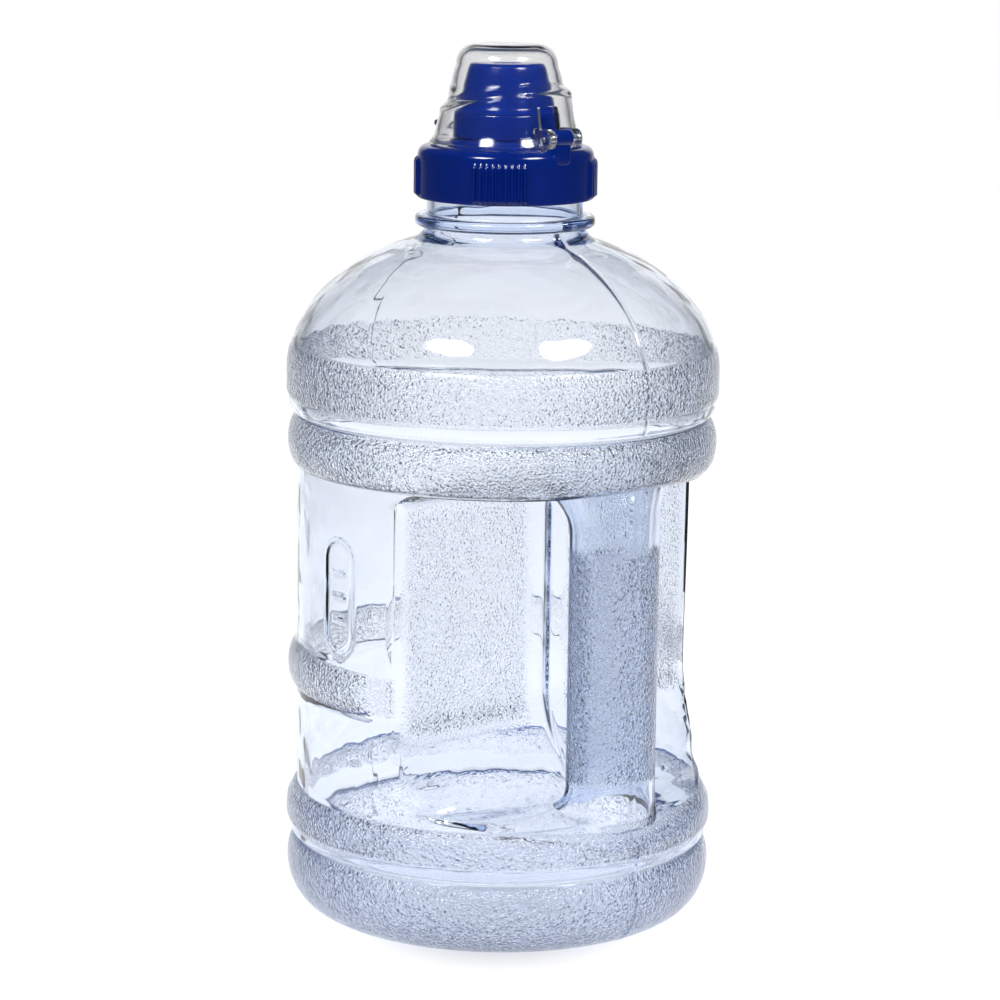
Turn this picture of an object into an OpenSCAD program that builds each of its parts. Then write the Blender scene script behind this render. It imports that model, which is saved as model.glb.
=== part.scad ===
/* [Jug] */
// Largest radius of the jug, at its bands
band_r = 65; // [60:0.5:70]
// Radius of the smooth waist between the bands
waist_r = 62.1; // [61:0.1:63]
// Wall thickness of the clear body
wall = 1.6; // [1.2:0.1:2.2]
// Radius of the flat ring that the jug stands on
foot_r = 52.5; // [48:0.5:54]
// Rise of the domed shoulder
dome_h = 43.2; // [40:0.2:46]
// Height of the push-up in the base
push_up = 3.5; // [2:0.5:6]

/* [Handle] */
// Distance of the recess wall from the jug's axis
recess_x = 22; // [18:0.5:24]
// Top of the recess
recess_top = 138; // [136:0.5:139]
// Height of the recess wall's foot, where the ramp starts
ramp_top = 62; // [58:1:66]
// Floor of the recess beside band three
ramp_foot = 40.5; // [40:0.5:42]
// Width of the handle bar
handle_w = 28; // [24:0.5:30]
// Distance of the handle's inner face from the jug's axis
handle_in = 44; // [42:0.5:46]
// Radius of the arch that joins the handle to the recess top
arch_r = 14; // [10:1:16]
// Height of the moulding ridge round the finger gap
ridge_h = 3; // [1:0.5:4]

/* [Neck] */
// Outer radius of the threaded neck
neck_r = 23.5; // [23:0.1:23.8]
// Top edge of the neck
neck_top = 229; // [228:0.5:229.5]
// Radius of the neck flange
flange_r = 27.1; // [26:0.1:28]
// Thread pitch of the neck and cap
pitch = 5; // [4.5:0.25:5.5]

/* [Cap] */
// Outer radius of the cap
cap_r = 26.5; // [26.3:0.1:26.8]
// Radius over the cap's grip patches
grip_r = 27.3; // [27:0.1:27.6]
// Lower edge of the cap
cap_z = 218.3; // [217.5:0.1:218.8]
// Top face of the cap
cap_top = 234; // [233.5:0.1:234.2]
// Number of ribs in one grip patch
grip_ribs = 9; // [5:2:11]

/* [Spout] */
// Outer radius of the stem that the spout slides on
stem_r = 9; // [8.8:0.1:9.2]
// Radial clearance of the sliding spout
spout_gap = 0.07; // [0.04:0.01:0.1]
// Radius of the spout's skirt
skirt_r = 16; // [15.5:0.1:16.2]
// Top face of the spout
spout_top = 258.5; // [258:0.1:258.8]
// Radius of the drinking hole
hole_r = 4.1; // [3.8:0.1:4.3]

/* [Dust cover] */
// Wall thickness of the clear cover
cover_wall = 1.2; // [1:0.1:1.3]
// Top of the cover
cover_top = 264; // [263.8:0.1:265]
// Slant of the step round the cover, in degrees
step_tilt = 11; // [0:1:12]
// Radius of the hinge barrel
barrel_r = 2.7; // [2.5:0.1:2.8]
// Radius of the hinge pin
pin_r = 0.8; // [0.7:0.05:0.9]

/* [Hidden] */
$fn = 96;

clear_blue = [0.80, 0.86, 0.95, 0.45];
cap_blue = [0.02, 0.12, 0.55];
clear_cover = [0.93, 0.94, 0.95, 0.4];

// profile heights of the jug, from the table upwards
base_curve = 15.5;
groove_low = 22.5;
band3_z = 30.6;
rib_z = 76.4;
band2_z = 145.4;
groove_high = 154;
dome_z = 166.7;
neck_z = 207;
flange_z = [210, 213.3];
// corner roundings in plan
wall_corner = 6;
grip_out = 5;
grip_in = 8;
lip_r = 24.3;
// hinge of the dust cover
hinge = [24.5, 0, 237.6];
barrel_w = 6.6;
knuckle_w = 3;
knuckle_gap = 0.15;
// the cap's inside
cap_bore = 25.3;
cap_under = 231;
liner_r = 21.7;
// screw thread: width at the root, height, start of the neck's ridge, and the cap's lugs
thread_w = 1.7;
thread_h = 1.2;
thread_z = 220.5;
thread_start = 20;
thread_turns = 1.2;
thread_lugs = 7;
lug_arc = 26;

// a bulge of the wall: half height hh about zc, standing h proud of r0
function bulge(zc, hh, r0, h, n = 10) =
    [for (i = [0:n]) let (t = 180 * i / n) [r0 + h * pow(sin(t), 1.15), zc - hh * cos(t)]];

// outer half profile of the jug, from the foot ring up to the neck's root
outline = concat(
    [[foot_r - 6, 0], [foot_r, 0]],
    [for (t = [15:15:90]) [foot_r + (band_r - foot_r) * sin(t), base_curve * (1 - cos(t))]],
    [[band_r - 0.6, 20], [waist_r + 0.4, groove_low]],
    [for (p = bulge(band3_z, 8.1, waist_r, band_r - waist_r, 8)) if (p[1] > groove_low + 1) p],
    bulge(rib_z, 6.7, waist_r, 2.8),
    bulge(band2_z, 7.6, waist_r, band_r - waist_r - 0.05),
    [[waist_r, groove_high + 0.8], [band_r - 0.7, groove_high + 3.8], [band_r - 0.1, groove_high + 6.5]],
    [for (t = [0:6:66]) [band_r * cos(t), dome_z + dome_h * sin(t)]],
    [[lip_r, neck_z + 0.6]]);

// the same outline moved inwards by the wall, along each point's own normal
function inward(p, i) =
    let (a = p[max(i - 1, 0)], b = p[min(i + 1, len(p) - 1)], d = (b - a) / norm(b - a))
    p[i] + wall * [-d[1], d[0]];
lining = [for (i = [2:len(outline) - 2]) inward(outline, i)];

module outer_form() {
    rotate_extrude()
        polygon(concat([[0, push_up]], [[foot_r - 14, push_up - 0.5]], outline,
            [[lip_r, flange_z[0]], [flange_r - 0.5, flange_z[0]], [flange_r, flange_z[0] + 0.6],
             [flange_r, flange_z[1] - 0.6], [flange_r - 0.5, flange_z[1]], [neck_r, flange_z[1]],
             [neck_r, neck_top - 0.6], [neck_r - 0.6, neck_top], [0, neck_top]]));
}

module inner_form() {
    rotate_extrude()
        polygon(concat([[0, push_up + wall]], [[foot_r - 14, push_up - 0.4 + wall], [foot_r - 5, wall]],
            lining, [[neck_r - 2, neck_z], [neck_r - 2, neck_top + 1], [0, neck_top + 1]]));
}

// plan of what the recess takes away: beyond the wall x = d, with rounded corners of radius c,
// out to the radial lines where the round body starts again
function corner_turn(d, c) = acos((d - c) / (waist_r - c));
function away(d, c) =
    let (f = corner_turn(d, c), m = (waist_r - c) * [cos(f), sin(f)])
    concat([for (t = [0:f / 5:f + 0.01]) m + c * [cos(t), sin(t)]], [80 * [cos(f), sin(f)], [90, 90]]);
function both(p) = concat([for (i = [len(p) - 1:-1:0]) [p[i][0], -p[i][1]]], p);

module recess(grow) {
    d = recess_x - grow;
    // the upright wall
    translate([0, 0, ramp_top]) linear_extrude(recess_top + grow - ramp_top)
        polygon(both(away(d, wall_corner)));
    // the ramp at its foot, steep at first and then nearly level
    rotate([90, 0, 0]) linear_extrude(180, center = true)
        polygon([[d, ramp_top + 0.01], [d + 11, ramp_foot + 2.5 - grow], [d + 14.5, ramp_foot + 0.5 - grow],
                 [90, ramp_foot - 0.6 - grow], [90, ramp_top + 0.01]]);
}

// plan of the handle bar: an arc just inside the waist, rounded corners, inset by g
module grip_plan(g) {
    r = waist_r - 0.4 - g;
    w = handle_w / 2 - g;
    o = grip_out - g;
    q = grip_in - g;
    x = handle_in + g;
    a = asin((w - o) / (r - o));
    half = concat([for (t = [0:a / 3:a - 0.01]) r * [cos(t), sin(t)]],
        [for (t = [a:(90 - a) / 5:90.01]) (r - o) * [cos(a), sin(a)] + o * [cos(t), sin(t)]],
        [for (t = [90:15:180]) [x + q, w - q] + q * [cos(t), sin(t)]]);
    polygon(both(half));
}

module handle_bar(g) {
    translate([0, 0, ramp_foot - 8]) linear_extrude(recess_top - ramp_foot + 16) grip_plan(g);
}

// the arch that fills the corner between the recess top and the bar
module arch() {
    difference() {
        translate([handle_in - arch_r, 3 - handle_w / 2, recess_top - arch_r])
            cube([arch_r + 3, handle_w - 6, arch_r + 2]);
        translate([handle_in - arch_r, 0, recess_top - arch_r]) rotate([90, 0, 0])
            cylinder(r = arch_r, h = handle_w + 2, center = true);
    }
}

// thin ridge where the mould halves pinch the wall round the finger gap
module ridge() {
    translate([0, 1.2, 0]) rotate([90, 0, 0]) linear_extrude(2.4)
        polygon([[recess_x - 1, recess_top + 1], [recess_x - 1, ramp_top],
                 [recess_x + 10, ramp_foot + 2], [handle_in + 2, ramp_foot - 1], [handle_in + 2, ramp_foot + 3],
                 [recess_x + ridge_h + 10, ramp_foot + 6], [recess_x + ridge_h, ramp_top],
                 [recess_x + ridge_h, recess_top - 6], [recess_x + ridge_h + 5, recess_top - 1.5],
                 [handle_in - arch_r + 2, recess_top + 1]]);
}

// raised gauge mark on the waist: a pill outline with three level bars
module gauge_mark() {
    intersection() {
        difference() {
            translate([0, 0, 80]) cylinder(r = waist_r + 0.7, h = 60);
            translate([0, 0, 79]) cylinder(r = waist_r - 0.5, h = 62);
        }
        rotate([90, 0, 0]) linear_extrude(80) {
            difference() {
                pill(14, 36);
                pill(10.8, 32.8);
            }
            for (i = [0:2]) translate([-3, 96 + 7 * i]) square([6, 1.6]);
        }
    }
}

module pill(w, h) {
    translate([0, 104 - (h - w) / 2]) circle(r = w / 2);
    translate([0, 104 + (h - w) / 2]) circle(r = w / 2);
    translate([-w / 2, 104 - (h - w) / 2]) square([w, h - w]);
}

// the neck's screw ridge, whose height fades in and out at its ends
module neck_ridge() {
    step = 10;
    n = thread_turns * 360 / step;
    r0 = neck_r - 0.4;
    function ring(i) =
        let (t = thread_start + step * i, z = thread_z + pitch * step * i / 360,
             r = r0 + (thread_h + 0.4) * min(1, min(i, n - i) / 3 + 0.12), c = thread_w / 2)
        [[r0 * cos(t), r0 * sin(t), z - c], [r * cos(t), r * sin(t), z - c * 0.4],
         [r * cos(t), r * sin(t), z + c * 0.4], [r0 * cos(t), r0 * sin(t), z + c]];
    polyhedron(
        points = [for (i = [0:n]) each ring(i)],
        faces = concat([[0, 1, 2, 3]],
            [for (i = [0:n - 1]) for (k = [0:3]) let (m = (k + 1) % 4)
                [4 * i + k, 4 * i + 4 + k, 4 * i + 4 + m]],
            [for (i = [0:n - 1]) for (k = [0:3]) let (m = (k + 1) % 4)
                [4 * i + k, 4 * i + 4 + m, 4 * i + m]],
            [[4 * n + 3, 4 * n + 2, 4 * n + 1, 4 * n]]));
}

// one length of the cap's interrupted thread, half a pitch under the neck's ridge, at turn a
module thread_lug(a) {
    c = thread_w / 2;
    translate([0, 0, thread_z + pitch * (a / 360 - 0.5)]) rotate(thread_start + a - lug_arc / 2)
        rotate_extrude(angle = lug_arc)
            polygon([[cap_bore + 0.4, -c], [cap_bore + 0.4, c], [cap_bore - thread_h, 0.4 * c],
                     [cap_bore - thread_h, -0.4 * c]]);
}

module jug_body() {
    color(clear_blue) {
        difference() {
            union() {
                difference() {
                    outer_form();
                    difference() {
                        recess(0);
                        handle_bar(0);
                        arch();
                    }
                }
                ridge();
                gauge_mark();
            }
            difference() {
                inner_form();
                difference() {
                    recess(wall);
                    handle_bar(wall);
                }
            }
        }
        neck_ridge();
    }
}

// the cap's round shell with its shoulder, top plate and collar rings
module cap_shell() {
    rotate_extrude()
        polygon(concat(
            [[cap_bore, cap_z], [cap_r - 0.4, cap_z], [cap_r, cap_z + 0.5]],
            [for (t = [0:15:90]) [cap_r - 3.5 + 3.5 * cos(t), cap_top - 3.5 + 3.5 * sin(t)]],
            [[17.6, cap_top], [17.6, cap_top + 0.7], [17, cap_top + 0.7], [17, cap_top + 1.4],
             [16.4, cap_top + 1.4], [16.4, cap_top + 2], [stem_r, cap_top + 2], [stem_r, 245.4],
             [stem_r - 1.2, 245.4], [stem_r - 1.2, 246.7], [stem_r, 246.7], [stem_r, 249],
             [stem_r - 1, 250], [stem_r - 2.7, 250], [stem_r - 2.7, cap_under], [cap_bore, cap_under]]));
}

module grip_patch() {
    wide = 36;
    intersection() {
        difference() {
            translate([0, 0, cap_z + 0.8]) cylinder(r = grip_r - 0.35, h = 11);
            translate([0, 0, cap_z]) cylinder(r = cap_r - 0.3, h = 13);
        }
        linear_extrude(250) polygon([[0, 0], [40, -40 * tan(wide / 2)], [40, 40 * tan(wide / 2)]]);
    }
    for (i = [0:grip_ribs - 1]) rotate((wide - 4) * (i / (grip_ribs - 1) - 0.5))
        translate([cap_r - 0.15, -0.45, cap_z + 1.3]) cube([grip_r - cap_r + 0.15, 0.9, 10]);
}

module screw_cap() {
    color(cap_blue) {
        difference() {
            union() {
                cap_shell();
                // bracket and barrel of the cover's hinge
                translate([21.5, -barrel_w / 2, 232]) cube([hinge[0] + barrel_r - 21.5, barrel_w, hinge[2] - 232]);
                translate([25.7, -barrel_w / 2, 228.5]) cube([hinge[0] + barrel_r - 25.7, barrel_w, 4]);
                translate(hinge) rotate([90, 0, 0]) cylinder(r = barrel_r, h = barrel_w, center = true);
            }
            translate(hinge) rotate([90, 0, 0]) cylinder(r = pin_r, h = barrel_w + 2, center = true);
        }
        for (a = [-44:90:316]) rotate(a) grip_patch();
        for (i = [0:thread_lugs - 1]) thread_lug(120 + 45 * i);
        // cross vanes and the plug that closes the drinking hole
        for (a = [0, 90]) rotate(a) translate([-6.6, -0.7, 247]) cube([13.2, 1.4, 2.9]);
        translate([0, 0, 247]) cylinder(r = 2.4, h = 8);
        translate([0, 0, 254.5]) cylinder(r = hole_r - spout_gap, h = 3.7);
    }
}

module cap_liner() {
    color("white")
        rotate_extrude() translate([liner_r, neck_top + 0.05]) square([25.1 - liner_r, cap_under - neck_top - 0.1]);
}

// push-pull spout: outer cone and skirt, a sleeve that slides on the stem, and the drinking hole
module pull_spout() {
    low = cap_top + 2.3;
    bore = stem_r + spout_gap;
    color(cap_blue) difference() {
        rotate_extrude()
            polygon([[bore, low], [skirt_r, low], [skirt_r, low + 7], [skirt_r - 0.8, low + 7.9],
                     [14.3, low + 8.4], [13.4, 249], [11.3, spout_top - 1.4], [10.6, spout_top - 0.3],
                     [9.8, spout_top], [hole_r, spout_top], [hole_r, spout_top - 1.6], [bore - 1.6, spout_top - 2],
                     [bore, spout_top - 5]]);
        rotate_extrude()
            polygon([[bore + 1.5, low - 1], [skirt_r - 1.6, low - 1], [skirt_r - 1.6, low + 6.4],
                     [13, low + 8.4], [bore + 1.5, 249]]);
    }
}

module spout_seal() {
    color("white") translate([0, 0, 246.05]) rotate_extrude() translate([stem_r - 0.6, 0]) circle(r = 0.55);
}

// profile of the cover's two stages, grown inwards by g
module lower_stage(g) {
    rotate_extrude()
        polygon([[0, cap_top - 2 + g], [22.4 - g, cap_top + 0.2 - 3 * g], [20.1 - g, 242.8], [18.9 - g, 256],
                 [0, 256]]);
}

module upper_stage(g) {
    rotate_extrude()
        polygon(concat([[0, 240], [17.9 - g, 240], [17.3 - g, 249.5], [16.1 - g, 255.3]],
            [for (t = [0:15:90]) [9.7 + (6.1 - g) * cos(t), cover_top - 6.4 + (6.4 - g) * sin(t)]],
            [[0, cover_top - g]]));
}

module cover_form(g) {
    intersection() {
        lower_stage(g);
        translate([0, 0, 248.2 - g]) rotate([0, -step_tilt, 0]) translate([-60, -60, -60]) cube([120, 120, 60]);
        translate([-60, -60, cap_top + 0.2 - 3 * g]) cube([120, 120, 40]);
    }
    upper_stage(g);
}

module dust_cover() {
    far = barrel_w / 2 + knuckle_gap;
    color(clear_cover) difference() {
        union() {
            cover_form(0);
            // foot rim on the cap's top
            translate([0, 0, cap_top + 0.2]) cylinder(r = 22.8, h = 1);
            // hinge arms and their knuckles
            for (s = [-1, 1]) translate([0, s * (far + knuckle_w / 2), 0]) {
                translate(hinge) rotate([90, 0, 0]) cylinder(r = 3, h = knuckle_w, center = true);
                translate([18, -knuckle_w / 2, hinge[2] - 1]) cube([6.5, knuckle_w, 4]);
            }
            // thumb tab on the far side from the hinge
            intersection() {
                translate([-27, -7.5, 237.5]) cube([9, 15, 3]);
                translate([0, 0, 237]) cylinder(r = 27, h = 5);
            }
        }
        cover_form(cover_wall);
        translate([0, 0, cap_top - 1]) cylinder(r = 21, h = 3);
        translate([10, -far, cap_top]) cube([20, 2 * far, 12.4]);
        translate(hinge) rotate([90, 0, 0]) cylinder(r = pin_r + 0.05, h = 30, center = true);
    }
}

module hinge_pin() {
    color("silver") translate(hinge) rotate([90, 0, 0])
        cylinder(r = pin_r, h = barrel_w + 2 * knuckle_w + 2 * knuckle_gap, center = true);
}

jug_body();
screw_cap();
cap_liner();
pull_spout();
spout_seal();
dust_cover();
hinge_pin();
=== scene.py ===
import math
import bpy
import numpy as np
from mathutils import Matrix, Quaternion, Vector


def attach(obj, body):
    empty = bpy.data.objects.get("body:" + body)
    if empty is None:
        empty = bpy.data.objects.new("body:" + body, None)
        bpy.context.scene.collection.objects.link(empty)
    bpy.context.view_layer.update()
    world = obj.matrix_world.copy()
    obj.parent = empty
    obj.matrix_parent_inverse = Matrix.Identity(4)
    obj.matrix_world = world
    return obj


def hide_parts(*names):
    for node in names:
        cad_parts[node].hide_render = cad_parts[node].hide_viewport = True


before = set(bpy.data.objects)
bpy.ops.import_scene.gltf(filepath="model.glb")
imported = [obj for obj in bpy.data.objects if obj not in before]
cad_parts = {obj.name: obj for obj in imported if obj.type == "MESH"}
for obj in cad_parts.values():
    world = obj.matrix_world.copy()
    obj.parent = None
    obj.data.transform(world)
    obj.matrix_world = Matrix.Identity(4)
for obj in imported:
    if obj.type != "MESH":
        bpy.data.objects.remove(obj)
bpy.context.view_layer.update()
mm = 0.001
scene = bpy.context.scene


def smoothStep(x, a, b):
    t = np.clip((x - a) / (b - a), 0, 1)            # 0 before a, 1 after b, eased between
    return t * t * (3 - 2 * t)


def softMin(a, b, k):
    h = np.clip(1 - np.abs(a - b) / k, 0, 1)        # the smaller value, rounded over k where they cross
    return np.minimum(a, b) - h * h * k / 4


def signedPower(value, power):
    return np.sign(value) * np.abs(value) ** power   # sign(v) |v|^power, which squares off a circle


def filleted(points, radii, steps=8):
    # a polyline whose inner corners are cut back by the radii and joined by quadratic curves
    points = np.array(points, float)
    path = [points[:1]]
    t = np.linspace(0, 1, steps)[:, None]
    for before, corner, after, cut in zip(points, points[1:], points[2:], radii):
        a = corner + (before - corner) * min(1, cut / np.linalg.norm(before - corner))
        b = corner + (after - corner) * min(1, cut / np.linalg.norm(after - corner))
        path.append(a * (1 - t) ** 2 + 2 * corner * t * (1 - t) + b * t ** 2)
    path.append(points[-1:])
    return np.concatenate(path)


def subdivided(path, longest):
    # the same path with points no further apart than the longest step
    out = [path[:1]]
    for a, b in zip(path, path[1:]):
        n = max(1, int(np.ceil(np.linalg.norm(b - a) / longest)))
        out.append(a + (b - a) * (np.arange(1, n + 1) / n)[:, None])
    return np.concatenate(out)


def around(radius, height, angle):
    # points at (r cos a, r sin a, z), rows by columns
    return np.stack([radius * np.cos(angle), radius * np.sin(angle), height + 0 * radius * angle], -1)


def gridMesh(name, grid, closeRows=False, slot=0):
    # a grid of points in millimetres, closed round its columns; open rows end in a pole at each end
    rows, cols = grid.shape[:2]
    index = np.arange(rows * cols).reshape(rows, cols)
    nextCol = np.roll(index, -1, 1)
    if closeRows:
        low, high, lowNext, highNext = index, np.roll(index, -1, 0), nextCol, np.roll(nextCol, -1, 0)
    else:
        low, high, lowNext, highNext = index[:-1], index[1:], nextCol[:-1], nextCol[1:]
    quads = np.stack([low, lowNext, highNext, high], -1).reshape(-1, 4)
    points = grid.reshape(-1, 3) * mm
    if not closeRows:
        poles = np.stack([grid[0].mean(0), grid[-1].mean(0)]) * mm
        start, end = rows * cols, rows * cols + 1
        points = np.concatenate([points, poles])
        fanStart = np.stack([index[0] * 0 + start, nextCol[0], index[0]], -1)
        fanEnd = np.stack([index[-1] * 0 + end, index[-1], nextCol[-1]], -1)
        triangles = np.concatenate([fanStart, fanEnd])
    else:
        triangles = np.zeros((0, 3), int)
    mesh = bpy.data.meshes.new(name)
    mesh.vertices.add(len(points))
    mesh.vertices.foreach_set("co", points.ravel())
    sizes = np.concatenate([np.full(len(quads), 4), np.full(len(triangles), 3)])
    mesh.loops.add(int(sizes.sum()))
    mesh.loops.foreach_set("vertex_index", np.concatenate([quads.ravel(), triangles.ravel()]))
    mesh.polygons.add(len(sizes))
    mesh.polygons.foreach_set("loop_start", np.concatenate([[0], np.cumsum(sizes)[:-1]]))
    mesh.polygons.foreach_set("material_index", np.full(len(sizes), slot))
    mesh.update(calc_edges=True)
    mesh.validate()
    piece = bpy.data.objects.new(name, mesh)
    scene.collection.objects.link(piece)
    return piece


def lathe(name, path, columns, closeRows=True):
    # a profile of (r, z) turned about the Z axis; it runs anticlockwise seen with r to the right
    angle = np.linspace(0, 2 * np.pi, columns, endpoint=False)[None, :]
    return gridMesh(name, around(path[:, :1], path[:, 1:], angle), closeRows)


def roundBox(name, centre, size, sharpness):
    # a superellipsoid: each of the sphere's cosines and sines raised to 2 / sharpness
    u = np.linspace(-np.pi / 2, np.pi / 2, 25)[1:-1, None]
    v = np.linspace(0, 2 * np.pi, 48, endpoint=False)[None, :]
    power = 2 / sharpness
    level = signedPower(np.cos(u), power)
    unit = np.stack([level * signedPower(np.cos(v), power), level * signedPower(np.sin(v), power),
                     signedPower(np.sin(u), power) + 0 * v], -1)
    return gridMesh(name, np.array(centre) + unit * np.array(size) / 2)


def turnedToY(piece, centre):
    # a piece lathed about Z is laid along Y and moved to its centre, in its mesh
    co = np.empty(len(piece.data.vertices) * 3)
    piece.data.vertices.foreach_get("co", co)
    x, y, z = co.reshape(-1, 3).T
    laid = np.stack([x, -z, y], -1) + np.array(centre) * mm
    piece.data.vertices.foreach_set("co", laid.ravel())
    return piece


def combine(piece, tool, operation):
    # one boolean step on closed meshes, applied at once; each side keeps its own material slot
    step = piece.modifiers.new("combine", "BOOLEAN")
    step.operation = operation
    step.solver = "MANIFOLD"
    step.object = tool
    step.material_mode = "INDEX"
    bpy.context.view_layer.update()
    done = bpy.data.meshes.new_from_object(piece.evaluated_get(bpy.context.evaluated_depsgraph_get()))
    old = piece.data
    piece.modifiers.clear()
    piece.data = done
    bpy.data.meshes.remove(old)
    bpy.data.objects.remove(tool)
    return piece


def joined(name, pieces):
    # several closed meshes become one piece
    with bpy.context.temp_override(active_object=pieces[0], selected_editable_objects=pieces):
        bpy.ops.object.join()
    pieces[0].name = pieces[0].data.name = name
    return pieces[0]


def finishPiece(piece, body, nodes, materials):
    # its materials, smooth faces with sharp edges past 40 degrees, and its place in the assembly
    piece.data.materials.clear()
    for material in materials:
        piece.data.materials.append(material)
    piece.data.shade_smooth()
    piece.data.set_sharp_from_angle(angle=math.radians(40))
    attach(piece, body)
    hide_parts(*nodes)
    print(piece.name, len(piece.data.vertices), "points")


class Value:
    # wraps a socket, so that sums on it add Math nodes
    def __init__(self, shader, socket):
        self.shader = shader
        self.socket = socket

    def sum(self, operation, *inputs):
        return self.shader.add("ShaderNodeMath", {"operation": operation}, dict(enumerate(inputs)))

    def __add__(self, other):
        return self.sum("ADD", self, other)

    def __radd__(self, other):
        return self.sum("ADD", other, self)

    def __sub__(self, other):
        return self.sum("SUBTRACT", self, other)

    def __rsub__(self, other):
        return self.sum("SUBTRACT", other, self)

    def __mul__(self, other):
        return self.sum("MULTIPLY", self, other)

    def __rmul__(self, other):
        return self.sum("MULTIPLY", other, self)

    def __truediv__(self, other):
        return self.sum("DIVIDE", self, other)

    def __pow__(self, other):
        return self.sum("POWER", self, other)

    def __abs__(self):
        return self.sum("ABSOLUTE", self)

    def larger(self, other):
        return self.sum("MAXIMUM", self, other)

    def rise(self, a, b):
        # eased from 0 at a to 1 at b
        return self.shader.add("ShaderNodeMapRange", {"interpolation_type": "SMOOTHSTEP"},
                               {"Value": self, "From Min": a, "From Max": b})

    def between(self, a, b, soft):
        return self.rise(a - soft, a + soft) * (1 - self.rise(b - soft, b + soft))


class Shader:
    # one material: self.place is the Object coordinate in millimetres, and x, y, z are its parts
    def __init__(self, name):
        self.material = bpy.data.materials.new(name)
        self.material.use_nodes = True
        self.tree = self.material.node_tree
        self.tree.nodes.clear()
        place = self.add("ShaderNodeTexCoord", {}, {}, "Object")
        self.place = self.add("ShaderNodeVectorMath", {"operation": "SCALE"},
                              {0: place, "Scale": 1 / mm}, "Vector")
        parts = self.add("ShaderNodeSeparateXYZ", {}, {0: self.place}, None)
        self.x, self.y, self.z = (Value(self, parts.outputs[i]) for i in range(3))

    def add(self, kind, settings, inputs, output=0):
        # one node: its settings first, then a value or a link for each socket
        node = self.tree.nodes.new(kind)
        for key, setting in settings.items():
            setattr(node, key, setting)
        for key, value in inputs.items():
            if isinstance(value, Value):
                self.tree.links.new(value.socket, node.inputs[key])
            else:
                node.inputs[key].default_value = value
        return node if output is None else Value(self, node.outputs[output])

    def noise(self, scale, detail=2.0, rough=0.5):
        return self.add("ShaderNodeTexNoise", {}, {"Vector": self.place, "Scale": scale, "Detail": detail,
                                                   "Roughness": rough}, 0)

    def bump(self, height, depth, below=None):
        inputs = {"Height": height, "Distance": depth * mm, "Strength": 1.0}
        if below:
            inputs["Normal"] = below
        return self.add("ShaderNodeBump", {}, inputs, "Normal")

    def finish(self, surface, volume=None):
        out = self.add("ShaderNodeOutputMaterial", {}, {"Surface": surface}, None)
        if volume:
            self.tree.links.new(volume.socket, out.inputs["Volume"])
        return self.material


clear = {"tint": (0.0, 0.34, 0.92, 1), "density": 54, "shade": (0.86, 0.89, 0.95, 1), "ior": 1.57,
         "roughness": 0.02, "waveScale": 0.07, "outerWave": 0.5, "innerWave": 0.9}
pebble = {"scale": 1.25, "depth": 0.32, "wander": 0.35, "wall": 1.3, "grip": 0.9,
          "bands": [(1.5, 21.8, 0.6), (28.5, 38.3, 0.5), (139, 152.8, 0.6), (159.6, 173.8, 0.5),
                    (70.5, 82, 0.8)]}
coverClear = {"tint": (0.5, 0.5, 0.5, 1), "density": 70, "shade": (0.93, 0.93, 0.93, 1), "ior": 1.5,
              "roughness": 0.08, "waveScale": 0.07, "wave": 0.7}


def clearPlastic(name, look, waviness, zones=None):
    # clear plastic: refraction, tint that grows with the path inside, and a light shadow
    s = Shader(name)
    normal = s.bump(s.noise(look["waveScale"], 1.0), waviness)
    if zones:
        wander = s.add("ShaderNodeTexNoise", {}, {"Vector": s.place, "Scale": 1.3, "Detail": 1.0},
                       "Color")
        moved = s.add("ShaderNodeMix", {"data_type": "RGBA", "blend_type": "LINEAR_LIGHT"},
                      {"Factor": pebble["wander"], "A": s.place, "B": wander}, "Result")
        cells = s.add("ShaderNodeTexVoronoi", {"feature": "SMOOTH_F1"},
                      {"Vector": moved, "Scale": pebble["scale"], "Smoothness": 0.25}, "Distance")
        normal = s.bump((1 - cells) * zones(s), pebble["depth"], normal)
    glass = s.add("ShaderNodeBsdfPrincipled", {},
                  {"Base Color": (1, 1, 1, 1), "Roughness": look["roughness"], "IOR": look["ior"],
                   "Transmission Weight": 1.0, "Normal": normal}, "BSDF")
    pale = s.add("ShaderNodeBsdfTransparent", {}, {"Color": look["shade"]}, "BSDF")
    light = s.add("ShaderNodeLightPath", {}, {}, "Is Shadow Ray")
    both = s.add("ShaderNodeMixShader", {}, {0: light, 1: glass, 2: pale}, 0)
    inside = s.add("ShaderNodeVolumeAbsorption", {}, {"Color": look["tint"], "Density": look["density"]}, 0)
    return s.finish(both, inside)


def pebbledZones(s):
    # the moulded bands and foot, the recess wall and the middle of the handle
    radius = (s.x ** 2 + s.y ** 2) ** 0.5
    outside = radius.rise(60.5, 61.5)
    low, high, soft = pebble["bands"][0]
    bands = s.z.between(low, high, soft)
    for low, high, soft in pebble["bands"][1:]:
        bands = bands + s.z.between(low, high, soft)
    foot = (1 - s.z.rise(16, 17)) * radius.rise(50, 52)
    side = abs(s.y)
    wall = s.x.between(20.5, 23.8, 0.4) * side.between(7.5, 54, 2.5) * s.z.between(64, 132, 4)
    grip = s.x.rise(38, 39) * (1 - side.rise(16, 17)) * s.z.between(50, 119, 2)
    return (bands * outside).larger(foot).larger(wall * pebble["wall"]).larger(grip * pebble["grip"])


blueLook = {"dark": (0.0, 0.011, 0.15, 1), "light": (0.0, 0.015, 0.19, 1), "gloss": 0.07, "uneven": 0.06,
            "peel": 0.012}


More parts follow.
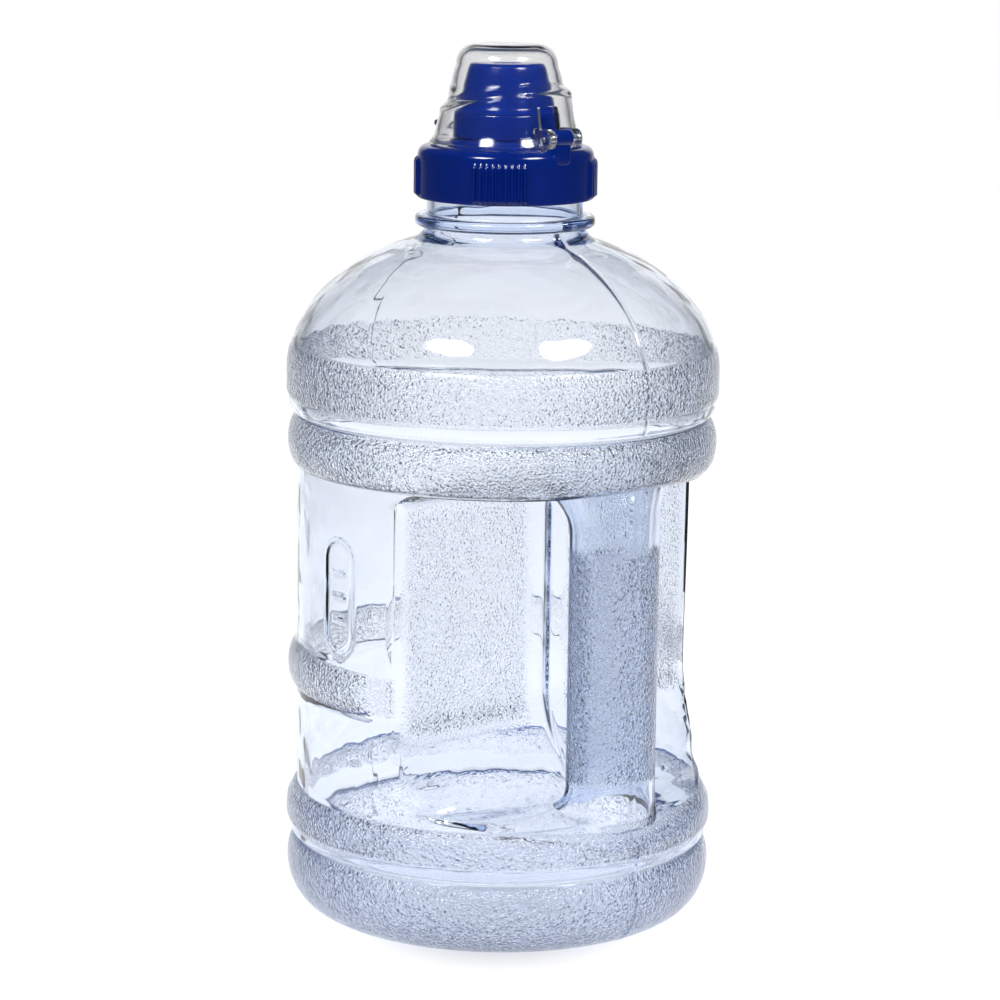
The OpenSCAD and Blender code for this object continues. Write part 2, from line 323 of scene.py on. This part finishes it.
def glossyBlue(name):
    # opaque coloured polypropylene: slight flow marks in the colour, fine orange peel
    s = Shader(name)
    flow = s.noise(0.12, 3.0, 0.6)
    colour = s.add("ShaderNodeMix", {"data_type": "RGBA"},
                   {"Factor": flow, "A": blueLook["dark"], "B": blueLook["light"]}, "Result")
    normal = s.bump(s.noise(2.5, 2.0), blueLook["peel"])
    roughness = blueLook["gloss"] + blueLook["uneven"] * s.noise(0.5, 3.0)
    surface = s.add("ShaderNodeBsdfPrincipled", {},
                    {"Base Color": colour, "Roughness": roughness, "IOR": 1.5, "Normal": normal}, "BSDF")
    return s.finish(surface)


def softWhite(name, colour, roughness):
    # soft foam or silicone with a fine grain in its tone and surface
    s = Shader(name)
    grain = s.noise(3.0, 4.0, 0.6)
    darker = tuple(0.86 * c for c in colour[:3]) + (1,)
    tone = s.add("ShaderNodeMix", {"data_type": "RGBA"}, {"Factor": grain, "A": darker, "B": colour},
                 "Result")
    surface = s.add("ShaderNodeBsdfPrincipled", {},
                    {"Base Color": tone, "Roughness": roughness, "Normal": s.bump(grain, 0.05)}, "BSDF")
    return s.finish(surface)


def brightSteel(name):
    # drawn wire: fine unevenness in the roughness and surface
    s = Shader(name)
    lines = s.add("ShaderNodeTexNoise", {}, {"Vector": s.place, "Scale": 6.0, "Detail": 3.0}, 0)
    surface = s.add("ShaderNodeBsdfPrincipled", {},
                    {"Base Color": (0.62, 0.63, 0.65, 1), "Metallic": 1.0, "Roughness": 0.18 + 0.15 * lines,
                     "Normal": s.bump(lines, 0.01)}, "BSDF")
    return s.finish(surface)


jug = {
    "band": 65.0, "waist": 62.1, "wall": 1.6,
    "foot": 52.5, "pushUp": 3.5, "baseCurve": 15.5,
    "band3": (30.6, 8.1), "rib": (76.4, 6.7), "band2": (145.4, 7.6), "groove": 153.4, "shoulder": 160.5,
    "domeBase": 166.7, "domeRise": 43.2, "lip": 24.3, "neck": 23.5, "bore": 21.5, "neckTop": 229.0,
    "flange": (27.1, 210.0, 213.3),
    "recess": 22.0, "wallFoot": 63.0, "floor": 42.4, "ceiling": 136.6, "ridge": 1.8,
    "gripIn": 44.0, "gripOut": 61.9, "gripHalf": 14.0, "arch": 14.0, "footArch": 6.0,
    "thread": (220.5, 5.0, 1.2, 0.85),                # start height, pitch, height, half width
    "threadStart": 20.0, "threadTurns": 1.2,
    "mark": (104.0, 7.0, 18.0, 0.45),                  # middle height, half width, half height, relief
    "belt": 0.35, "seam": 0.35, "neckSeam": 0.6,       # reliefs of the pebbled belts and the parting line
    "flare": (3.2, 2.5), "handleWall": 1.25,           # the handle's ends widen; its wall over the jug's
    "thickBase": 0.4, "thinDome": 0.35,                # how much thicker the base and thinner the dome is
}


def bulge(middle, half, low, height, count=17, start=0.0, stop=np.pi):
    t = np.linspace(start, stop, count)               # r = low + height sin(t)^1.15, z = middle - half cos(t)
    return np.stack([low + height * np.abs(np.sin(t)) ** 1.15, middle - half * np.cos(t)], 1)


def jugOutline():
    # half profile from the middle of the base up to the root of the neck
    t = np.linspace(0, np.pi / 2, 14)
    r = np.linspace(3, jug["foot"] - 6, 12)
    push = np.stack([r, jug["pushUp"] * np.cos(r / r[-1] * np.pi / 2) ** 0.6], 1)
    reach = jug["band"] - jug["foot"]
    curve = np.stack([jug["foot"] + reach * np.sin(t), jug["baseCurve"] * (1 - np.cos(t))], 1)
    deep = jug["waist"] + 0.3
    stand = jug["band"] - jug["waist"]
    t = np.linspace(0, math.acos((jug["lip"] + 3.2) / jug["band"]), 30)
    dome = np.stack([jug["band"] * np.cos(t), jug["domeBase"] + jug["domeRise"] * np.sin(t)], 1)
    neckFoot = (jug["lip"] + 0.2, dome[-1, 1] + 1.3)
    root = filleted([dome[-1], neckFoot, (jug["lip"], jug["flange"][1] - 0.3)], [9])
    low = bulge(jug["band3"][0], jug["band3"][1], jug["waist"], stand)
    low = low[low[:, 1] > 22.9]
    return np.concatenate([
        push, curve, bulge(jug["baseCurve"], 7.1, deep, jug["band"] - deep, 9, np.pi / 2)[1:], low,
        bulge(jug["rib"][0], jug["rib"][1], jug["waist"], 2.8),
        bulge(jug["band2"][0], jug["band2"][1], jug["waist"], stand - 0.05),
        bulge(jug["shoulder"], jug["shoulder"] - jug["groove"], jug["waist"], stand, 9, 0, np.pi / 2),
        dome, root[1:]])


def recessPath():
    # (distance from the axis, height) of the recess: floor lip, floor, ramp, wall, ceiling, ceiling lip
    x, far = jug["recess"], 62.0
    return filleted([(76, jug["floor"] - 9.9), (far - 6, jug["floor"] - 1.6), (x + 14, jug["floor"]),
                     (x, jug["wallFoot"]), (x, jug["ceiling"] - 0.8), (far - 4, jug["ceiling"] + 0.6),
                     (74, jug["ceiling"] + 5)], [12, 7, 9, 6, 4])


def jugColumns():
    # angles round the jug in degrees, closer together at the mark, the seam and the recess corners
    back = 180 - np.array([0.25, 0.5, 0.75, 1.25])
    extra = [np.linspace(-97, -83, 29), np.linspace(-6, 6, 13), np.linspace(-2, 2, 17), back, -back,
             np.linspace(66, 80, 8), np.linspace(-80, -66, 8)]
    return np.unique(np.concatenate([np.arange(-180, 180, 2.5)] + extra).round(3))


def jugSurface(angle, rows, detail):
    # the outer wall, r = softMin(outline(z), cut(z) / cos(a)) + seam + belts + mark: the turned outline
    # and the recess, whose flat wall is cut / cos(a) from the axis
    a = np.radians(angle)[None, :]
    r, z = rows[:, :1], rows[:, 1:]
    path = recessPath()
    cut = np.interp(z, path[:, 1], path[:, 0], left=90, right=90)
    facing = np.maximum(np.cos(a), 1e-3)
    ribbed = (np.abs(z - jug["rib"][0]) < jug["rib"][1]) * (r - jug["waist"])
    radius = r - ribbed * (1 - smoothStep(np.abs(np.degrees(a)), 75.5, 81.5))
    if detail:
        across = cut * np.tan(np.clip(a, -1.2, 1.2))
        level = (0.25 + 0.75 * smoothStep(z, 50, 70)) * smoothStep(z, 41, 46) * (1 - smoothStep(z, 128, 136))
        cut = cut + jug["ridge"] * level * np.exp(-(across / 1.2) ** 2)
    wall = np.where(np.cos(a) > 0.02, cut / facing, 900)
    soft = 20.0 - 12.0 * smoothStep(z, 42, 50) - 4.0 * smoothStep(z, 60, 137)
    radius = softMin(radius, wall, soft)
    if detail:
        high = smoothStep(z, 186, 207)
        seam = np.exp(-(radius * np.sin(a) / (0.5 + 0.9 * high)) ** 2)
        radius = radius + (jug["seam"] + jug["neckSeam"] * high) * seam * ((z > 155) | (z < 38))
        belts = smoothStep(z, 159, 159.8) * (1 - smoothStep(z, 172, 176))
        belts = belts + smoothStep(z, 27.9, 28.7) * (z < 36)
        radius = radius + jug["belt"] * belts * smoothStep(radius, 60, 61)
        radius = radius + gaugeMark(a, z)
    return around(radius, z, a)


def gaugeMark(a, z):
    # a raised pill outline with three level bars on the -Y side: u runs round the waist, v upwards
    middle, half, tall, relief = jug["mark"]
    u = jug["waist"] * (a + np.pi / 2)
    v = z - middle
    outline = np.hypot(u, np.maximum(np.abs(v) - (tall - half), 0)) - half + 0.8
    height = 1 - smoothStep(np.abs(outline), 0.4, 1.1)
    for level in (-7, 0, 7):
        bar = np.maximum(np.abs(u) - 2.6, np.abs(v - level) - 0.4)
        height = np.maximum(height, 1 - smoothStep(bar, 0.1, 0.8))
    return relief * height


def neckGrid(angle):
    # flange and threaded neck up to the flat top: r = profile(z) + ridge where z is near start + pitch * turn
    f, low, high = jug["flange"]
    n, top = jug["neck"], jug["neckTop"]
    lip = jug["lip"]
    ring = filleted([(lip, low - 0.2), (lip, low), (f, low), (f, high), (n, high), (n, high + 2)],
                    [0.3, 1.5, 1.5, 0.8], 7)
    thread = np.stack([np.full(26, n), np.linspace(218.4, top - 1.2, 26)], 1)
    edge = filleted([(n, top - 1), (n, top), (n - 2.2, top), (jug["bore"] - 3, top)], [0.7, 0.1], 6)
    rows = np.concatenate([ring, thread, edge])
    a = np.radians(angle)[None, :]
    r, z = rows[:, :1], rows[:, 1:]
    start, pitch, height, half = jug["thread"]
    turn = (np.degrees(a) - jug["threadStart"]) % 360 / 360
    ridge = 0
    for k in (0, 1):
        along = (turn + k) / jug["threadTurns"]
        fade = smoothStep(along, 0, 0.07) * (1 - smoothStep(along, 0.93, 1))
        level = np.abs(z - start - pitch * (turn + k))
        ridge = ridge + fade * (1 - smoothStep(level, half * 0.35, half * 1.1))
    notch = 1.0 * np.exp(-(r * np.sin(a) / 1.7) ** 2) * ((z > low - 0.1) & (z < high + 0.1)) * (r > n + 1)
    return around(r + height * ridge * (z > 218) - notch, z, a)


def jugOuter():
    angle = jugColumns()
    outline = jugOutline()
    path = recessPath()
    body = outline[outline[:, 1] < 170]
    height = np.concatenate([body[14:, 1], np.clip(subdivided(path, 2.0)[:, 1], 37, 141),
                             np.arange(86, 123, 0.8), np.arange(44, 136, 4.0)])
    height = np.unique(height.round(2))
    keep = np.concatenate([[True], np.diff(height) > 0.13])
    height = height[keep]
    waist = height[(height > outline[14, 1]) & (height < 170)]
    order = outline[14:]
    radius = np.interp(waist, order[:, 1], order[:, 0])
    rows = np.concatenate([outline[:15], np.stack([radius, waist], 1), outline[outline[:, 1] > 170]])
    print("jug rows", len(rows), "columns", len(angle))
    grid = np.concatenate([jugSurface(angle, rows, True), neckGrid(angle)])
    return gridMesh("jugBody", grid, False, 0)


def jugInner():
    # the lining: the plain outer wall moved inwards along its normals, then the neck's bore
    corners = [np.arange(-80, -64, 1.5), np.arange(65, 81, 1.5)]
    angle = np.unique(np.concatenate([np.arange(-180, 180, 2.5)] + corners))
    outline = jugOutline()
    path = recessPath()
    part = outline[14:]
    part = part[part[:, 1] < 205]
    height = np.unique(np.concatenate([part[::2, 1], np.clip(subdivided(path, 4.0)[:, 1], 36, 142),
                                       np.arange(45, 135, 5.0)]).round(2))
    height = height[np.concatenate([[True], np.diff(height) > 0.12])]
    radius = np.interp(height, part[:, 1], part[:, 0])
    rows = np.concatenate([outline[1:14:2], np.stack([radius, height], 1)])
    grid = jugSurface(angle, rows, False)
    down = np.gradient(grid, axis=0)
    turn = np.roll(grid, -1, 1) - np.roll(grid, 1, 1)
    normal = np.cross(turn, down)
    normal /= np.linalg.norm(normal, axis=-1, keepdims=True)
    z = grid[..., 2:]
    base = jug["thickBase"] * (1 - smoothStep(z, 20, 60))
    thick = jug["wall"] * (1 + base - jug["thinDome"] * smoothStep(z, 150, 175))
    lining = grid - thick * normal
    b = jug["bore"]
    neckRows = filleted([(b + 3.5, 204.9), (b, 207), (b, 216), (b, jug["neckTop"] - 1.0),
                         (b + 0.9, jug["neckTop"] + 0.6), (b - 4, jug["neckTop"] + 0.6)], [2, 1, 0.5, 0.1], 5)
    top = around(neckRows[:, :1], neckRows[:, 1:], np.radians(angle)[None, :])
    return gridMesh("lining", np.concatenate([lining, top]), False, 1)


def handleBar(inset, low, high, slot):
    # the bar: a superellipse in plan, bent to the waist's curve, its inner face an arch at both ends
    seam = np.array([-6, -4, -3, -2, -1, 1, 2, 3, 4, 6])
    t = np.radians(np.unique(np.concatenate([np.arange(-180, 180, 6), seam])))[None, :]
    z = np.unique(np.concatenate([np.linspace(low, 50, 12), np.linspace(50, 122, 25),
                                  np.linspace(122, high, 22)]))[:, None]
    c, s = np.cos(t), np.sin(t)
    topArch, footArch = jug["arch"], jug["footArch"]
    rise = np.maximum(z - (jug["ceiling"] - topArch + 0.4), 0)
    drop = np.maximum(jug["floor"] + footArch - 0.4 - z, 0)
    back = jug["gripIn"] - topArch + np.sqrt(np.maximum((topArch + inset) ** 2 - rise ** 2, 0.01))
    foot = jug["gripIn"] - footArch + np.sqrt(np.maximum((footArch + inset) ** 2 - drop ** 2, 0.01))
    inner = np.minimum(back, foot)
    outer = jug["gripOut"] - inset + 0 * z
    topFlare, footFlare = jug["flare"]
    flare = topFlare * smoothStep(z, 124, 139) ** 2 + footFlare * smoothStep(-z, -50, -38) ** 2
    half = jug["gripHalf"] - inset + flare
    power = np.where(c > 0, 2 / 3.4, 2 / 2.7)
    x = (outer + inner) / 2 + (outer - inner) / 2 * signedPower(c, power)
    y = half * signedPower(s, 2 / 3.0)
    x = x - y ** 2 / (2 * jug["waist"])
    if slot == 0:
        x = x + 0.2 * np.exp(-(y / 0.5) ** 2) * (c > 0)
    return gridMesh("handleBar", np.stack([x + 0 * y, y + 0 * x, z + 0 * x], -1), False, slot)


def makeJug():
    # the outer shape with its handle, less the lining with the handle's own hollow
    outer = jugOuter()
    outer = combine(outer, handleBar(0.0, 36, 144, 0), "UNION")
    inner = combine(jugInner(), handleBar(jug["handleWall"] * jug["wall"], 31, 149, 1), "UNION")
    return combine(outer, inner, "DIFFERENCE")


cap = {
    "radius": 26.5, "patch": 26.8, "rib": 27.5, "bottom": 218.3, "top": 234.0, "under": 231.0, "bore": 25.3,
    "shoulder": 3.5, "patches": (-44, 46, 136, 226), "patchWide": 36, "ribs": 9,
    "stem": 9.0, "stemBore": 6.3, "stemTop": 250.0, "lugs": 7, "lugArc": 26,
    "hinge": (24.5, 0.0, 237.6), "barrel": 2.7, "barrelWide": 6.6, "pin": 0.8,
}
spout = {"bore": 9.07, "skirt": 16.0, "low": 236.3, "top": 258.5, "hole": 4.1, "gap": 0.07}


def capShell():
    # r = profile + patches and ribs outside, where cos(ribs * a) is high, and - lugs inside
    c = cap
    s = c["stem"]
    profile = filleted([
        (c["bore"], 224), (c["bore"], c["bottom"]), (c["radius"], c["bottom"]), (c["radius"], c["top"]),
        (17.6, c["top"]), (17.6, c["top"] + 0.7), (17.0, c["top"] + 0.7), (17.0, c["top"] + 1.4),
        (16.4, c["top"] + 1.4), (16.4, c["top"] + 2), (s, c["top"] + 2), (s, 245.4), (s - 1.2, 245.4),
        (s - 1.2, 246.7), (s, 246.7), (s, c["stemTop"]), (c["stemBore"], c["stemTop"]),
        (c["stemBore"], c["under"]), (c["bore"], c["under"]), (c["bore"], 225)],
        [0.3, 0.5, c["shoulder"], 0.3, 0.2, 0.2, 0.2, 0.2, 0.2, 0.3, 0.1, 0.1, 0.1, 0.1, 0.8, 0.3, 0.3, 0.4],
        6)
    within = int(np.argmax(profile[:, 0] < 18))           # the first part is the grooved skirt
    rows = np.concatenate([subdivided(profile[:within], 0.8), subdivided(profile[within:], 4.0)])
    fine = [np.arange(centre - 19.5, centre + 20, 0.5) % 360 for centre in c["patches"]]
    angle = np.unique(np.concatenate([np.arange(0, 360, 2.0)] + fine).round(3))
    a = np.radians(angle)[None, :]
    r, z = rows[:, :1], rows[:, 1:]
    outside = (r > c["radius"] - 0.6) * (z > c["bottom"] + 0.2)
    lift = 0
    for centre in c["patches"]:
        off = (angle[None, :] - centre + 180) % 360 - 180
        pad = 1 - smoothStep(np.abs(off), c["patchWide"] / 2, c["patchWide"] / 2 + 0.8)
        step = (c["patchWide"] - 4) / (c["ribs"] - 1)
        ribs = smoothStep(np.cos(off / step * 2 * np.pi), -0.3, 0.3)
        lift = lift + pad * (c["patch"] - c["radius"] + (c["rib"] - c["patch"]) * ribs)
    tall = smoothStep(z, c["bottom"] + 0.4, c["bottom"] + 1.1) * (1 - smoothStep(z, 229.3, 230.6))
    r = r + outside * lift * tall
    inside = (np.abs(r - c["bore"]) < 0.1) * (z < 229)
    start, pitch, height, half = jug["thread"]
    halfArc = c["lugArc"] / 2
    for i in range(c["lugs"]):
        turn = 120 + 45 * i
        off = (angle[None, :] - jug["threadStart"] - turn + 180) % 360 - 180
        level = np.abs(z - start - pitch * (turn / 360 - 0.5))
        lug = (1 - smoothStep(np.abs(off), halfArc - 2, halfArc)) * (1 - smoothStep(level, 0.3, 0.9))
        r = r - inside * height * lug
    return gridMesh("screwCap", around(r, z, a), True)


def makeCap():
    # the shell with the hinge's barrel and bracket, and the plug on its post and vanes inside the stem
    c = cap
    x, _, z = c["hinge"]
    w = c["barrelWide"] / 2
    barrel = turnedToY(lathe("barrel", filleted([(c["pin"], 0), (c["pin"], -w), (c["barrel"], -w),
                                                 (c["barrel"], w), (c["pin"], w), (c["pin"], 0.2)],
                                                [0.1, 0.4, 0.4, 0.1], 5), 48), c["hinge"])
    bracket = roundBox("bracket", (x - 0.4, 0, (z + 230) / 2 - 0.6), (5.4, 2 * w, z - 230 + 0.4), 4)
    plugR = spout["hole"] - spout["gap"]
    plugPath = filleted([(0.4, 254.5), (plugR, 254.5), (plugR, 258.2), (0.4, 258.2)], [0.4, 0.5], 5)
    plug = lathe("plug", plugPath, 64, False)
    postPath = filleted([(0.4, 247), (2.4, 247), (2.4, 255.2), (0.4, 255.2)], [0.2, 0.2], 4)
    post = lathe("post", postPath, 32, False)
    vanes = [roundBox("vane", (0, 0, 248.4), size, 12) for size in ((13.2, 1.4, 2.9), (1.4, 13.2, 2.9))]
    return joined("screwCap", [capShell(), barrel, bracket, plug, post] + vanes)


def makeSpout():
    # a turned shell: skirt, cone and top, open below and at the drinking hole
    s = spout
    low, b, k = s["low"], s["bore"], s["skirt"]
    profile = filleted([
        (b, low + 3), (b, low), (b + 1.5, low), (b + 1.5, 249), (13, low + 8.4), (k - 1.6, low + 6.4),
        (k - 1.6, low), (k, low), (k, low + 7.6), (14.6, low + 8.4), (13.5, 249), (11.1, s["top"]),
        (s["hole"], s["top"]), (s["hole"], s["top"] - 1.6), (b - 1.6, s["top"] - 2), (b, s["top"] - 5),
        (b, low + 3.5)],
        [0.3, 0.3, 0.5, 1, 1, 0.4, 0.4, 1.2, 1.4, 3.0, 1.5, 0.5, 0.5, 1, 1.5], 8)
    return lathe("pullSpout", subdivided(profile, 3.0), 160)


cover = {"wall": 1.7, "foot": 234.2, "footRadius": 22.8, "top": 264.0, "step": 248.4, "tilt": 11.0,
         "knuckle": 3.0, "knuckleWide": 3.0, "gap": 0.15, "tab": (27.0, 7.5, 237.5, 240.5)}


def coverGrid(inset):
    # r = lower(z) below the step and upper(z) above it; the step's height is level + 19 cos(a) tan(tilt)
    angle = np.arange(0, 360, 2.0)
    a = np.radians(angle)[None, :]
    g = inset
    lowZ = cover["foot"] - (2 if g else 0)
    sides = np.concatenate([[lowZ], np.linspace(235.2, 258, 60)])[:, None]
    lower = np.interp(sides, [235.2, 237.5, 242.8, 247.8, 256], [22.4, 21.4, 20.1, 19.5, 18.9]) - g
    upper = np.interp(sides, [240, 249.5, 252.8, 255.3, 258], [18.2, 17.4, 16.6, 16.1, 15.3])
    upper = upper - g * (0.74 + 0.26 * smoothStep(sides, 248.5, 252.5))
    step = cover["step"] - g * 0.8 + 19 * np.cos(a) * math.tan(math.radians(cover["tilt"]))
    radius = upper + (lower - upper) * (1 - smoothStep(sides, step - 1.5, step + 1.5))
    t = np.linspace(0, np.pi / 2, 14)[1:, None]
    crownR, crownZ = 9.2, cover["top"] - 6.4
    dome = (crownR + (6.1 - g) * np.cos(t) ** 0.9, crownZ + 0.4 + (6.0 - g) * np.sin(t) ** 1.0)
    flat = np.array([[7.0], [4.0], [1.5]])
    radius = np.concatenate([radius, dome[0] + 0 * a, flat + 0 * a])
    height = np.concatenate([sides + 0 * a, dome[1] + 0 * a, flat * 0 + dome[1][-1] + 0 * a])
    return np.stack([radius * np.cos(a), radius * np.sin(a), height], -1)


def makeCover():
    # the outer shell with its rim, knuckles and tab, less the hollow, the hinge's window and the pin's hole
    piece = gridMesh("dustCover", coverGrid(0.0))
    f = cover["foot"]
    rimRadius = cover["footRadius"]
    rim = filleted([(15, f), (rimRadius, f), (rimRadius, f + 1), (15, f + 1)], [0.3, 0.3], 5)
    piece = combine(piece, lathe("rim", rim, 160, False), "UNION")
    x, _, z = cap["hinge"]
    far = cap["barrelWide"] / 2 + cover["gap"]
    wide = cover["knuckleWide"]
    for side in (-1, 1):
        k = cover["knuckle"]
        disc = filleted([(0.3, -wide / 2), (k, -wide / 2), (k, wide / 2), (0.3, wide / 2)], [0.5, 0.5], 5)
        disc = turnedToY(lathe("knuckle", disc, 48, False), (x, side * (far + wide / 2), z))
        piece = combine(piece, disc, "UNION")
        arm = roundBox("arm", (x - 3.2, side * (far + wide / 2), z + 1.2), (7.6, wide - 0.1, 3.4), 6)
        piece = combine(piece, arm, "UNION")
    reach, half, low, high = cover["tab"]
    tab = roundBox("tab", (3.5 - reach, 0, (low + high) / 2), (7, 2 * half, high - low), 3.2)
    piece = combine(piece, tab, "UNION")
    piece = combine(piece, gridMesh("hollow", coverGrid(cover["wall"])), "DIFFERENCE")
    window = roundBox("window", (20, 0, 240.4), (20, 2 * far, 12.4), 14)
    piece = combine(piece, window, "DIFFERENCE")
    bore = np.array([(0.3, -15), (0.85, -15), (0.85, 15), (0.3, 15)])
    hole = turnedToY(lathe("hole", bore, 32, False), (x, 0, z))
    return combine(piece, hole, "DIFFERENCE")


liner = {"inner": 21.7, "outer": 25.1, "low": 229.05, "high": 230.95}
seal = {"middle": 8.4, "height": 246.05, "thick": 0.55}
pin = {"radius": 0.8, "half": 6.45}


def makeLiner():
    # a flat ring with rounded corners
    inner, outer = liner["inner"], liner["outer"]
    low, high = liner["low"], liner["high"]
    ring = filleted([(inner, 230), (inner, low), (outer, low), (outer, high), (inner, high), (inner, 230.2)],
                    [0.3, 0.3, 0.3, 0.3], 5)
    return lathe("capLiner", ring, 160)


def makeSeal():
    # a torus: r = middle + thick cos(t), z = height + thick sin(t)
    t = np.linspace(0, 2 * np.pi, 16, endpoint=False)
    thick = seal["thick"]
    ring = np.stack([seal["middle"] + thick * np.cos(t), seal["height"] + thick * np.sin(t)], 1)
    return lathe("spoutSeal", ring, 96)


def makePin():
    # a short wire with rounded ends, along Y
    r, w = pin["radius"], pin["half"]
    path = filleted([(0.1, -w), (r, -w), (r, w), (0.1, w)], [0.25, 0.25], 5)
    return turnedToY(lathe("hingePin", path, 32, False), cap["hinge"])


scene.view_settings.view_transform = "Standard"
scene.cycles.max_bounces = 20
scene.cycles.transmission_bounces = 18
scene.cycles.glossy_bounces = 6
scene.cycles.adaptive_threshold = 0.04

outerClear = clearPlastic("clearPebbled", clear, clear["outerWave"], pebbledZones)
innerClear = clearPlastic("clearSmooth", clear, clear["innerWave"])
thinClear = clearPlastic("clearCover", coverClear, coverClear["wave"])
blue = glossyBlue("glossyBlue")
foam = softWhite("linerFoam", (0.86, 0.86, 0.83, 1), 0.6)
silicone = softWhite("sealSilicone", (0.8, 0.82, 0.83, 1), 0.35)

finishPiece(makeJug(), "jug", ["jug_body"], [outerClear, innerClear])
finishPiece(makeCap(), "cap", ["screw_cap"], [blue])
finishPiece(makeSpout(), "spout", ["pull_spout"], [blue])
finishPiece(makeCover(), "cover", ["dust_cover"], [thinClear])
finishPiece(makeLiner(), "liner", ["cap_liner"], [foam])
finishPiece(makeSeal(), "cap", ["spout_seal"], [silicone])
finishPiece(makePin(), "cap", ["hinge_pin"], [brightSteel("pinSteel")])


studio = {"floor": 0.12, "glow": 0.98, "shade": 0.16, "world": 0.15, "worldColour": (0.5, 0.66, 1, 1),
          "distance": 1.048, "height": 0.3306, "aim": 0.1259, "turn": 50.0, "roll": 0.73, "lens": 126.3,
          "panelSize": (0.42, 0.27), "panelDistance": 0.9, "panelHeight": 45, "panelPower": 32,
          "leftPanel": 15, "rightPanel": 92}


def makeFloor():
    # a sweep: flat under the jug, curving up behind it, wide enough to fill the view
    t = np.linspace(0, 1, 80)
    along = np.concatenate([np.linspace(-1.6, 1.0, 30), 1.0 + 1.2 * np.sin(t * np.pi / 2)])
    up = np.concatenate([np.zeros(30), 1.2 * (1 - np.cos(t * np.pi / 2))])
    across = np.linspace(-1.6, 1.6, 12)
    a = math.radians(studio["turn"])
    away = np.array([-math.sin(a), math.cos(a)])
    side = np.array([math.cos(a), math.sin(a)])
    flat = along[:, None, None] * away + across[None, :, None] * side
    points = np.concatenate([flat, up[:, None, None] + 0 * flat[..., :1]], -1)
    index = np.arange(points.shape[0] * 12).reshape(-1, 12)
    quads = np.stack([index[:-1, :-1], index[:-1, 1:], index[1:, 1:], index[1:, :-1]], -1).reshape(-1, 4)
    mesh = bpy.data.meshes.new("floor")
    mesh.from_pydata(points.reshape(-1, 3).tolist(), [], quads.tolist())
    mesh.shade_smooth()
    s = Shader("paleFloor")
    back = s.y * away[1] + s.x * away[0]                 # how far behind the jug, in millimetres
    side = s.x * side[0] + s.y * side[1]
    # painted light and shade: the floor's glow fades to the shade level in front and at the sides, and is
    # painted brighter just behind the jug
    aside = (abs(side) / (back + 1050)).rise(0.17, 0.5)
    lit = back.rise(-520, -200) * (1 - aside) * (0.97 + 0.03 * s.noise(0.01))
    lit = lit * (1 + 0.18 * back.rise(0, 120) * (1 - back.rise(500, 1100)))
    paintedShadowDistance = ((s.x - 26) ** 2 + (s.y + 22) ** 2) ** 0.5    # painted shadow: the floor's glow is halved under the near half of the jug, where less light gets in
    lit = lit * (0.5 + 0.5 * paintedShadowDistance.rise(8, 50))
    glow = s.add("ShaderNodeMix", {"data_type": "RGBA", "clamp_factor": False},
                 {"Factor": lit, "A": (studio["shade"],) * 3 + (1,), "B": (1, 1, 1, 1)}, "Result")
    surface = s.add("ShaderNodeBsdfPrincipled", {},
                    {"Base Color": (studio["floor"],) * 3 + (1,), "Roughness": 0.7, "Specular IOR Level": 0.1,
                     "Emission Color": glow, "Emission Strength": studio["glow"]}, "BSDF")
    mesh.materials.append(s.finish(surface))
    floor = bpy.data.objects.new("floor", mesh)
    scene.collection.objects.link(floor)


def viewDirection(azimuth, elevation):
    # (sin a cos e, -cos a cos e, sin e), so azimuth 0 is seen from -Y
    a, e = math.radians(azimuth), math.radians(elevation)
    return Vector((math.sin(a) * math.cos(e), -math.cos(a) * math.cos(e), math.sin(e)))


def softBox(name, azimuth):
    # an oval panel that glows, fading towards its rim
    size = studio["panelSize"]
    t = np.linspace(0, 2 * np.pi, 48, endpoint=False)
    rim = np.stack([np.cos(t) * size[0] / 2, np.sin(t) * size[1] / 2, 0 * t], -1)
    mesh = bpy.data.meshes.new(name)
    mesh.from_pydata(rim.tolist(), [], [list(range(48))])
    s = Shader(name)
    u = s.x * (2 * mm / size[0])
    v = s.y * (2 * mm / size[1])
    fade = 1 - ((u * u + v * v) ** 0.5).rise(0.35, 1.0)
    glow = s.add("ShaderNodeMix", {"data_type": "RGBA"},
                 {"Factor": fade, "A": (0, 0, 0, 1), "B": (1, 1, 1, 1)}, "Result")
    surface = s.add("ShaderNodeBsdfPrincipled", {},
                    {"Base Color": (0, 0, 0, 1), "Roughness": 1.0, "Specular IOR Level": 0.0,
                     "Emission Color": glow, "Emission Strength": studio["panelPower"]}, "BSDF")
    mesh.materials.append(s.finish(surface))
    panel = bpy.data.objects.new(name, mesh)
    aim = Vector((0, 0, 0.13))
    panel.location = aim + viewDirection(azimuth, studio["panelHeight"]) * studio["panelDistance"]
    panel.rotation_euler = (aim - panel.location).to_track_quat("Z", "Y").to_euler()
    scene.collection.objects.link(panel)


def makeCamera():
    # a long lens, looking a little down at the middle of the jug
    camera = bpy.data.objects.new("camera", bpy.data.cameras.new("camera"))
    a = math.radians(studio["turn"])
    camera.location = (studio["distance"] * math.sin(a), -studio["distance"] * math.cos(a), studio["height"])
    look = (Vector((0, 0, studio["aim"])) - camera.location).to_track_quat("-Z", "Y")
    camera.rotation_euler = (look @ Quaternion((0, 0, 1), math.radians(studio["roll"]))).to_euler()
    camera.data.lens = studio["lens"]
    camera.data.sensor_width = 36
    camera.data.shift_x = -0.0015
    scene.collection.objects.link(camera)
    scene.camera = camera


makeFloor()
makeCamera()
softBox("leftBox", studio["leftPanel"])
softBox("rightBox", studio["rightPanel"])
print("floor, panels and camera ready")
world = bpy.data.worlds.new("studio")
world.use_nodes = True
background = world.node_tree.nodes["Background"]
background.inputs["Color"].default_value = studio["worldColour"]
background.inputs["Strength"].default_value = studio["world"]
scene.world = world
